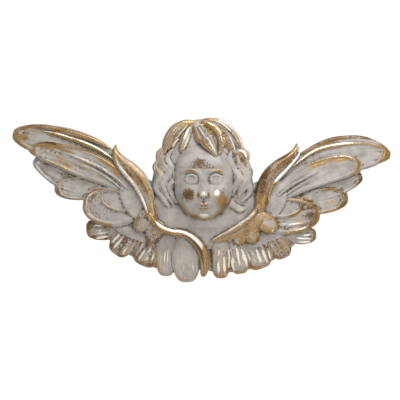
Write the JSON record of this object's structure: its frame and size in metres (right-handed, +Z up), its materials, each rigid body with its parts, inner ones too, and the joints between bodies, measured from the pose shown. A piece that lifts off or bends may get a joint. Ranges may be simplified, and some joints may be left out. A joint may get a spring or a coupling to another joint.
{
  "type": "winged cherub wall ornament",
  "caption": "Cast wall ornament of a winged child's head between two spread feathered wings, with a flat back and a hanging pocket.",
  "frame": {"origin": "on the flat back at the wall plane, in the middle of the ornament between the wing tips", "axes": "+X from wing tip to wing tip, to the viewer's right; +Y into the wall; +Z up"},
  "size_m": [0.503, 0.075, 0.217],
  "materials": {
    "gilded_painted_resin": "satin warm grey paint over cast resin, rubbed with worn gold on the raised carving"
  },
  "bodies": {
    "root": {"winged_cherub_relief": "gilded_painted_resin"}
  },
  "joints": []
}
